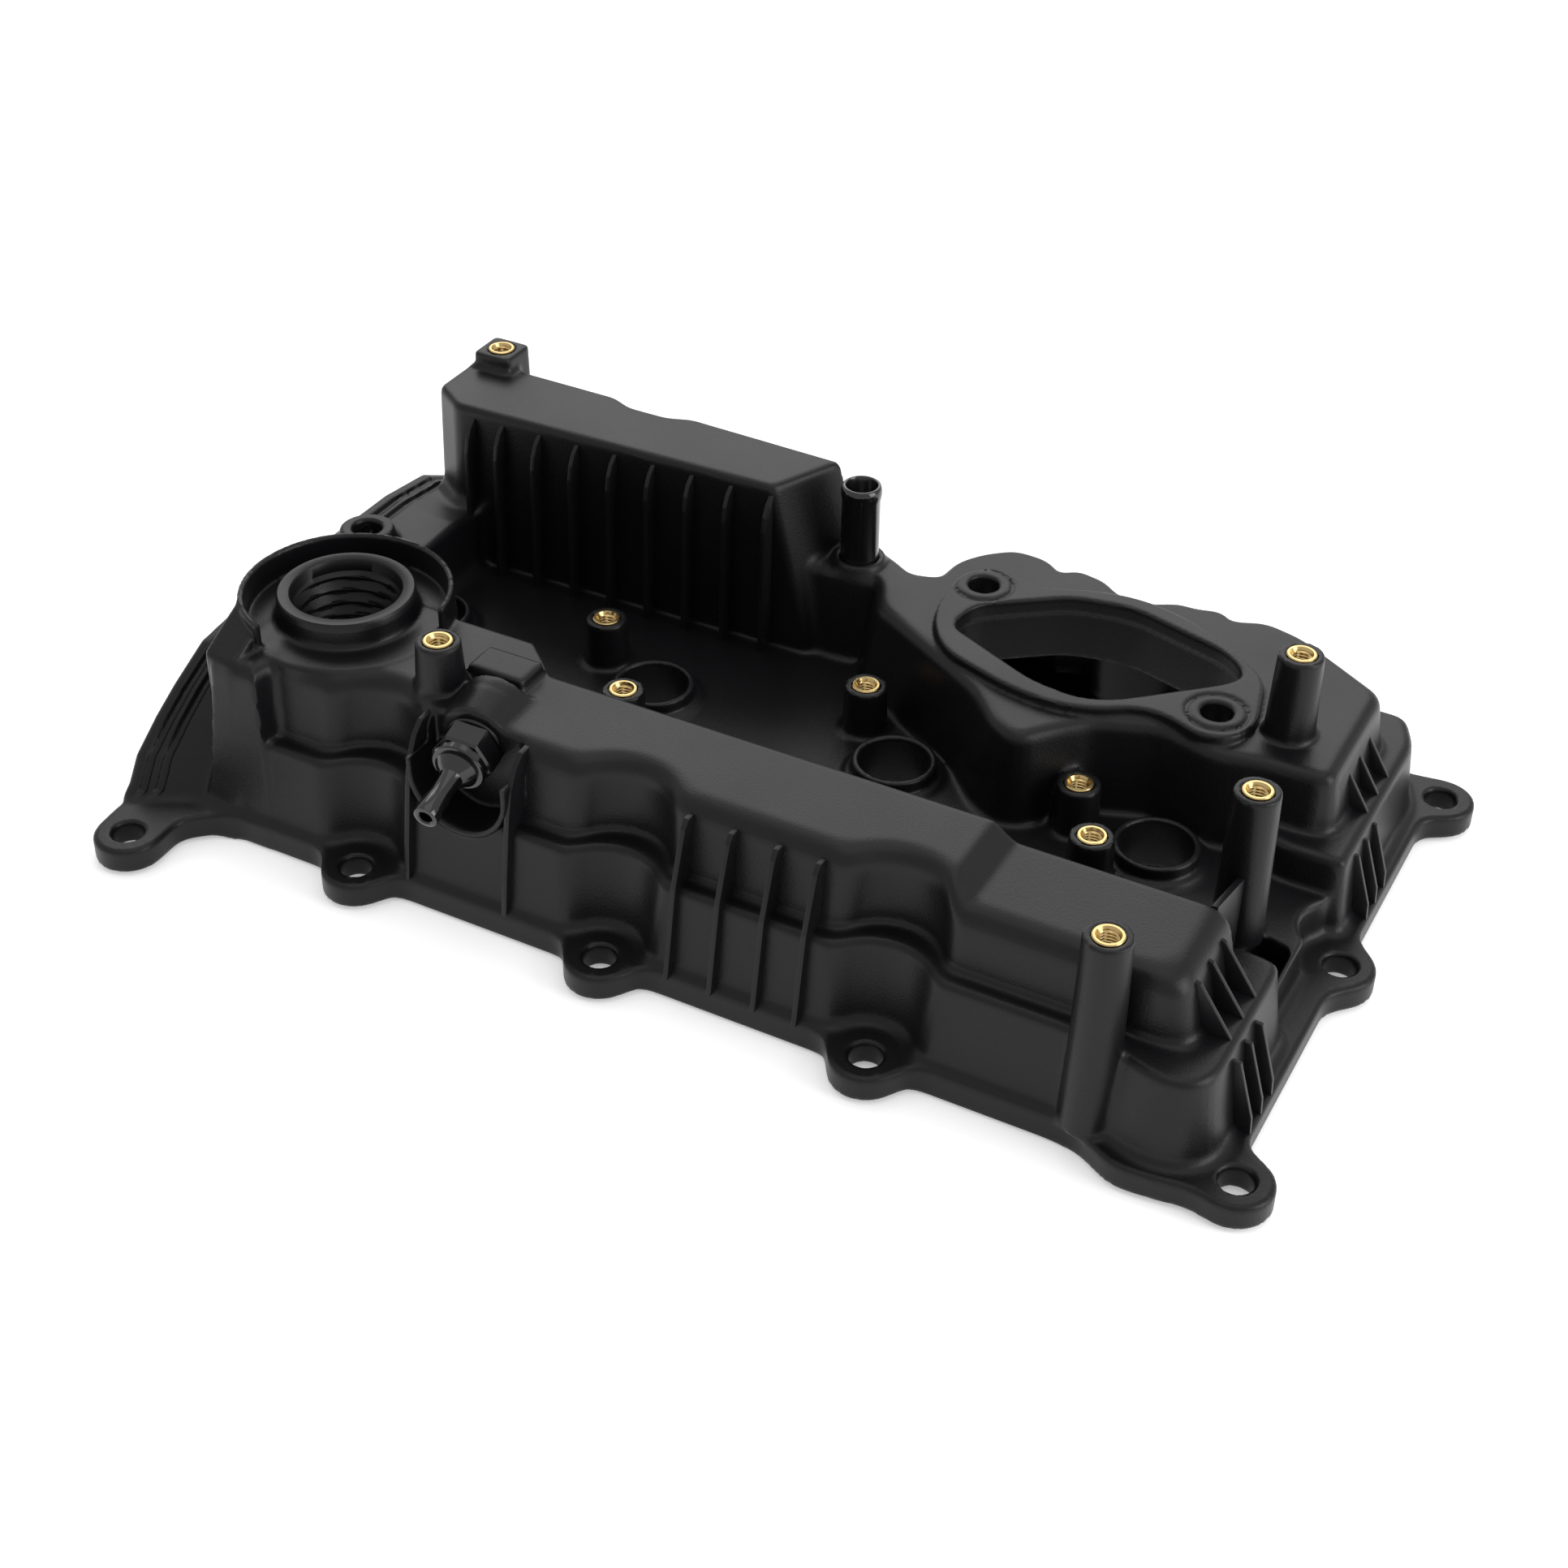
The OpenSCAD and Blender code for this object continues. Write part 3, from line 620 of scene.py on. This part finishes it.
# Threaded throat of the filler neck, part of the moulding
neck = {"rim": 21.15, "mouth": 17.0, "thread": 16.4, "depth": 0.95, "pitch": 4.6, "long": 27}
throat = [(19, -neck["long"]), (19, -7), (neck["rim"], -6), (neck["rim"], -0.7), (neck["rim"] - 0.6, 0.05),
          (neck["mouth"] + 0.5, 0.05), (neck["mouth"], -0.5), (neck["mouth"], -4.2)]
throat += grooves(neck["thread"], -5.2, -neck["long"] + 2, neck["depth"], 0.55)
throat.append((neck["thread"], -neck["long"]))
addShape(cover, piece("throat", turned(throat, 128, neck["pitch"]), (fillerX, fillerY, fillerTop), sharp=40))
cover.data.set_sharp_from_angle(angle=math.radians(50))
print("stage: moulding done")

# Brass inserts
insert = {"r": 4.42, "bore": 2.75, "long": 12, "pitch": 1.0}
insertShape = [(insert["r"], -insert["long"]), (insert["r"], -1.6), (insert["r"] - 0.35, -1.5),
               (insert["r"] - 0.35, -1.0), (insert["r"], -0.9), (insert["r"], 0.05), (insert["r"] - 0.3, 0.3),
               (3.45, 0.3), (2.95, -0.5)]
insertShape += grooves(insert["bore"], -0.8, -insert["long"] + 0.5, 0.36, 0.2)
insertShape.append((insert["bore"], -insert["long"]))
inserts = [piece(f"insert_{i + 1}", turned(insertShape, 64, insert["pitch"]), p, sharp=30)
           for i, p in enumerate(insertTops)]

# Breather pipe
pipe = {"r": 6.2, "bore": 5.0, "lip": 0.35, "buried": 10, "tall": boxTop - plateauTop}
pipeShape = [(pipe["bore"], -pipe["buried"]), (6.28, -pipe["buried"]), (6.28, 0), (pipe["r"], 1)]
pipeShape += [(pipe["r"], pipe["tall"] - 5), (pipe["r"] + pipe["lip"], pipe["tall"] - 3.6),
              (pipe["r"] + pipe["lip"], pipe["tall"] - 1.6), (pipe["r"] - 0.1, pipe["tall"] - 0.2),
              (pipe["r"] - 0.5, pipe["tall"]), (pipe["bore"] + 0.3, pipe["tall"]),
              (pipe["bore"], pipe["tall"] - 0.4)]
breather = piece("breather_pipe", turned(pipeShape, 80), (pipeX, pipeY, plateauTop), sharp=50)

# Plug tube seals, with two lips each
sealLow = level("seal_1", 0)
sealShape = [(12.95, 0.2), (12.95, 6.8), (12.4, 7), (12.0, 6.2), (11.6, 7), (11.3, 5.6), (11.9, 3.6),
             (11.3, 1.4), (11.6, 0), (12.0, 0.8), (12.4, 0)]
seals = [piece(f"seal_{i + 1}", turned(sealShape, 72), (x, 0, sealLow), sharp=60)
         for i, x in enumerate(plugX)]


def tubeFaces(rings, sides):
    return [(i * sides + j, i * sides + (j + 1) % sides, (i + 1) * sides + (j + 1) % sides,
             (i + 1) * sides + j) for i in range(rings - 1) for j in range(sides)]


# Gasket: a cord with two ridges, laid in the groove
def sweep(path, section):
    path = [Vector(p) for p in path]
    points = []
    for i, p in enumerate(path):
        way = (path[min(i + 1, len(path) - 1)] - path[max(i - 1, 0)]).normalized()
        side = Vector((way.y, -way.x))
        points += [(p.x + side.x * u, p.y + side.y * u, v) for u, v in section]
    return np.array(points), np.array(tubeFaces(len(path), len(section)))


gasketPath = [(-143, -95), (145.5, -95), (159.5, -102.5), (175, -101.6), (180.1, -96), (180.1, 87.5),
              (176.5, 91), (-143, 91)]
path = [gasketPath[0]] + soften(gasketPath, 4)[5:-5] + [gasketPath[-1]]
gasketLow = level("perimeter_gasket", 0)
section = [(-1.45, 2.8), (-1.45, 0.9), (-1.0, 0), (-0.45, 0), (0, 0.6), (0.45, 0), (1.0, 0), (1.45, 0.9),
           (1.45, 2.8)]
gasket = piece("perimeter_gasket", sweep(path, section), (0, 0, gasketLow), sharp=40)

# Valve: body, seat, ring, plunger and spring, all along the valve's axis
hexFlats = 17.0
hexR = hexFlats / math.sqrt(3)
hexShape = [(6.8, -4), (hexR * 0.93, -4), (hexR, -3.3), (hexR, 3.2), (hexR * 0.93, 4), (6.8, 4)]
bodyShape = [(5.5, -18), (6.9, -18), (6.9, -6.2), (6.0, -6), (6.0, -4.2), (7.6, -4), (7.6, 4), (8.3, 4.2),
             (8.3, 6.0), (7.9, 6.5), (6.6, 6.6), (6.6, 7.4), (5.0, 9.4), (3.6, 10.6), (3.3, 12), (3.3, 18),
             (3.6, 20.5), (3.85, 24), (3.85, 26), (3.6, 26.8), (3.2, 27), (2.4, 27), (2.0, 26.6), (2.0, 2.2),
             (5.5, 2)]
valveBody = piece("valve_body", turned(bodyShape, 72), valveHex, valveAxis, 30)
addShape(valveBody, piece("valve_hex", turned(hexShape, 6), valveHex, valveAxis, 20))
valveBody.data.set_sharp_from_angle(angle=math.radians(28))
ringTurns = np.linspace(0, 2 * np.pi, 14, endpoint=False)
ringShape = [(7.9 + 0.9 * math.cos(a), -5.0 + 0.72 * math.sin(a)) for a in ringTurns]
valveRing = piece("valve_ring", turned(ringShape, 64), valveHex, valveAxis, 80)
seatShape = [(2.2, -17.9), (5.4, -17.9), (5.4, -15.8), (5.1, -15.5), (3.0, -15.5), (2.2, -16.2)]
valveSeat = piece("valve_seat", turned(seatShape, 64), valveHex, valveAxis, 30)
plungerShape = [(0.01, -15.3), (4.6, -15.3), (4.85, -15.05), (4.85, -13.6), (4.6, -13.35), (2.2, -13.2),
                (2.2, -6.9), (1.5, -6.3), (0.01, -6.3)]
plunger = piece("valve_plunger", turned(plungerShape, 56, closed=False), valveHex, valveAxis, 30)


# Coil spring with closed ends
def coil(r, wire, bottom, top, turns, steps=22, sides=8):
    t = np.linspace(0, 1, turns * steps + 1)
    ease = np.clip((t - 0.12) / 0.76, 0, 1)
    h = bottom + wire + (top - bottom - 2 * wire) * ease
    a = t * turns * 2 * np.pi
    ring = np.linspace(0, 2 * np.pi, sides, endpoint=False)
    out = r + wire * np.cos(ring)[None, :]
    tall = h[:, None] + wire * np.sin(ring)[None, :]
    points = np.stack([out * np.cos(a)[:, None], out * np.sin(a)[:, None], tall], -1)
    faces = tubeFaces(len(t), sides) + [(0, 1, 2, 3), (0, 3, 4, 7), (4, 5, 6, 7)]
    last = (len(t) - 1) * sides
    faces += [[last + k for k in cap] for cap in ((3, 2, 1, 0), (7, 4, 3, 0), (7, 6, 5, 4))]
    return points.reshape(-1, 3), np.array(faces)


springAt = {"r": 3.6, "wire": 0.45, "low": -13.1, "high": 1.5, "turns": 7}
spring = piece("valve_spring", coil(*springAt.values()), valveHex, valveAxis, 60)
print("stage: separate pieces")


# Baffles under the two hollows: plates with pressed ribs and screw heads
def platePiece(name, low, high, thick, ribs):
    bm = bmesh.new()
    shapes = [(low, (high[0], high[1], low[2] + thick))]
    for i in range(ribs):
        x = low[0] + (high[0] - low[0]) * (i + 0.5) / ribs
        shapes.append(((x - 0.7, low[1] + 2, low[2] - 2), (x + 0.7, high[1] - 2, low[2] + 0.2)))
    for a, b in shapes:
        made = bmesh.ops.create_cube(bm, size=1)["verts"]
        for v in made:
            v.co = Vector([(a[k] if v.co[k] < 0 else b[k]) / 1000 for k in range(3)])
    bmesh.ops.bevel(bm, geom=bm.edges[:], offset=0.0004, segments=2, affect="EDGES")
    mesh = bpy.data.meshes.new(name)
    bm.to_mesh(mesh)
    bm.free()
    obj = bpy.data.objects.new(name, mesh)
    obj.location = datum
    scene.collection.objects.link(obj)
    mesh.shade_smooth()
    mesh.set_sharp_from_angle(angle=math.radians(30))
    for i in range(4):
        x = low[0] + (high[0] - low[0]) * (i + 0.35) / 3.7
        head = [(0.01, -1.6), (1.2, -1.6), (1.3, -0.9), (3.2, -1.2), (3.6, 0), (3.6, 0.3), (0.01, 0.3)]
        addShape(obj, piece("screw", turned(head, 24, closed=False), (x, (low[1] + high[1]) / 2 + 4, low[2])))
    return obj


def corners(node):
    return [[v * 1000 for v in (c - datum)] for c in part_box(node)]


separatorPlate = platePiece("separator_plate", *corners("separator_plate"), 2.2, 12)
frontBaffle = platePiece("front_baffle", *corners("front_baffle"), 2.0, 20)


# Materials: a broad tint, a fine grain (scale, strength) and a paler colour on sharp outward edges
def newMaterial(name, colour, rough, metal=0.0, grain=(900, 0.02), tint=0.25, coat=0.0, edgePaleness=0.0, shine=0.5):
    mat = bpy.data.materials.new(name)
    mat.use_nodes = True
    nodes, links = mat.node_tree.nodes, mat.node_tree.links
    shader = nodes["Principled BSDF"]
    where = nodes.new("ShaderNodeTexCoord")
    broad, fine = nodes.new("ShaderNodeTexNoise"), nodes.new("ShaderNodeTexNoise")
    broad.inputs["Scale"].default_value = 26
    broad.inputs["Detail"].default_value = 5
    fine.inputs["Scale"].default_value = grain[0]
    fine.inputs["Detail"].default_value = 3
    for n in (broad, fine):
        links.new(where.outputs["Object"], n.inputs["Vector"])
    mix = nodes.new("ShaderNodeMixRGB")
    mix.inputs[1].default_value = (*[c * (1 - tint) for c in colour], 1)
    mix.inputs[2].default_value = (*[c * (1 + tint) for c in colour], 1)
    links.new(broad.outputs["Fac"], mix.inputs[0])
    shade = mix.outputs[0]
    # Paler colour on sharp outward edges, taken from the mesh's Pointiness
    if edgePaleness:
        edge = nodes.new("ShaderNodeNewGeometry")
        ramp = nodes.new("ShaderNodeMapRange")
        ramp.inputs["From Min"].default_value, ramp.inputs["From Max"].default_value = 0.53, 0.62
        ramp.inputs["To Max"].default_value = edgePaleness
        links.new(edge.outputs["Pointiness"], ramp.inputs["Value"])
        paleEdges = nodes.new("ShaderNodeMixRGB")
        paleEdges.inputs[2].default_value = (*[min(1, c * 3 + 0.01) for c in colour], 1)
        links.new(ramp.outputs["Result"], paleEdges.inputs[0])
        links.new(shade, paleEdges.inputs[1])
        shade = paleEdges.outputs[0]
    links.new(shade, shader.inputs["Base Color"])
    spread = nodes.new("ShaderNodeMapRange")
    spread.inputs["To Min"].default_value, spread.inputs["To Max"].default_value = rough - 0.06, rough + 0.06
    links.new(broad.outputs["Fac"], spread.inputs["Value"])
    links.new(spread.outputs["Result"], shader.inputs["Roughness"])
    bump = nodes.new("ShaderNodeBump")
    bump.inputs["Strength"].default_value = grain[1]
    bump.inputs["Distance"].default_value = 0.0004
    links.new(fine.outputs["Fac"], bump.inputs["Height"])
    links.new(bump.outputs["Normal"], shader.inputs["Normal"])
    shader.inputs["Metallic"].default_value = metal
    shader.inputs["Specular IOR Level"].default_value = shine
    if coat:
        shader.inputs["Coat Weight"].default_value = coat
    return mat


nylon = newMaterial("moulded_nylon", (0.0038, 0.0039, 0.0047), 0.37, grain=(1500, 0.16), edgePaleness=0.35,
                    shine=0.27)
gloss = newMaterial("gloss_nylon", (0.004, 0.004, 0.0046), 0.16, grain=(700, 0.03), coat=0.3)
baffleNylon = newMaterial("baffle_nylon", (0.011, 0.0115, 0.013), 0.5, grain=(1400, 0.15), edgePaleness=0.4)
brass = newMaterial("brass", (0.56, 0.41, 0.18), 0.25, 1.0, grain=(1800, 0.05), tint=0.1)
rubber = newMaterial("seal_rubber", (0.02, 0.012, 0.008), 0.62, grain=(1200, 0.2))
gasketRubber = newMaterial("gasket_rubber", (0.028, 0.031, 0.034), 0.6, grain=(1200, 0.2))
ringRubber = newMaterial("ring_rubber", (0.006, 0.006, 0.006), 0.5, grain=(1200, 0.2))
alloy = newMaterial("alloy", (0.6, 0.61, 0.63), 0.3, 1.0, grain=(1500, 0.08), tint=0.08)
steel = newMaterial("spring_steel", (0.42, 0.43, 0.45), 0.28, 1.0, grain=(1500, 0.08), tint=0.1)

# The moulding takes the place of every node that no other piece does
separate = ("insert_", "seal_", "valve_", "perimeter_gasket", "breather_pipe", "separator_plate",
            "front_baffle")
mouldNodes = [n for n in frame["nodes"] if not n.startswith(separate)] + ["valve_boss"]


def fit(obj, material, body, slot, *nodes):
    obj.data.materials.clear()
    obj.data.materials.append(material)
    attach(obj, body)
    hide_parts(*nodes)


fit(cover, nylon, "cover", "cover_nylon", *mouldNodes)
for i, obj in enumerate(inserts):
    fit(obj, brass, "cover", "insert_brass", f"insert_{i + 1}")
for i, obj in enumerate(seals):
    fit(obj, rubber, "cover", "seal_rubber", f"seal_{i + 1}")
fit(gasket, gasketRubber, "cover", "gasket_rubber", "perimeter_gasket")
fit(breather, gloss, "cover", "gloss_nylon", "breather_pipe")
fit(valveBody, gloss, "cover", "valve_nylon", "valve_body")
fit(valveSeat, gloss, "cover", "valve_nylon", "valve_seat")
fit(valveRing, ringRubber, "cover", "ring_rubber", "valve_ring")
fit(plunger, alloy, "plunger", "plunger_alloy", "valve_plunger")
fit(spring, steel, "cover", "spring_steel", "valve_spring")
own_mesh(spring)
fit(separatorPlate, baffleNylon, "cover", "baffle_nylon", "separator_plate")
fit(frontBaffle, baffleNylon, "cover", "baffle_nylon", "front_baffle")
print("stage: materials and bodies")


# Floor and light
def makeFloor():
    mesh = bpy.data.meshes.new("floor")
    bm = bmesh.new()
    bmesh.ops.create_grid(bm, x_segments=1, y_segments=1, size=5)
    bm.to_mesh(mesh)
    bm.free()
    obj = bpy.data.objects.new("floor", mesh)
    obj.location = (0, 0, cadLow.z - 0.0002)
    mat = bpy.data.materials.new("floor")
    mat.use_nodes = True
    inputs = mat.node_tree.nodes["Principled BSDF"].inputs
    inputs["Base Color"].default_value = (0.93, 0.93, 0.93, 1)
    inputs["Roughness"].default_value = 0.7
    inputs["Specular IOR Level"].default_value = 0.1
    inputs["Emission Color"].default_value = (1, 1, 1, 1)
    inputs["Emission Strength"].default_value = 0.34
    mesh.materials.append(mat)
    scene.collection.objects.link(obj)


def softBox(name, where, size, power, aim=(0, 0, 0.03)):
    data = bpy.data.lights.new(name, "AREA")
    data.shape, data.size, data.size_y = "RECTANGLE", *size
    data.energy = power
    obj = bpy.data.objects.new(name, data)
    obj.location = where
    obj.rotation_mode = "QUATERNION"
    obj.rotation_quaternion = (Vector(aim) - Vector(where)).to_track_quat("-Z", "Y")
    scene.collection.objects.link(obj)


makeFloor()
softBox("back_box", (-0.75, 1.5, 1.25), (2.0, 1.0), 13)
softBox("top_box", (0.1, 0.1, 1.7), (1.4, 1.4), 4)
softBox("side_box", (1.5, 0.1, 0.7), (0.9, 1.2), 13)
world = bpy.data.worlds.new("studio")
scene.world = world
world.use_nodes = True
world.node_tree.nodes["Background"].inputs["Color"].default_value = (1, 1, 1, 1)
world.node_tree.nodes["Background"].inputs["Strength"].default_value = 0.74
scene.view_settings.view_transform = "Standard"
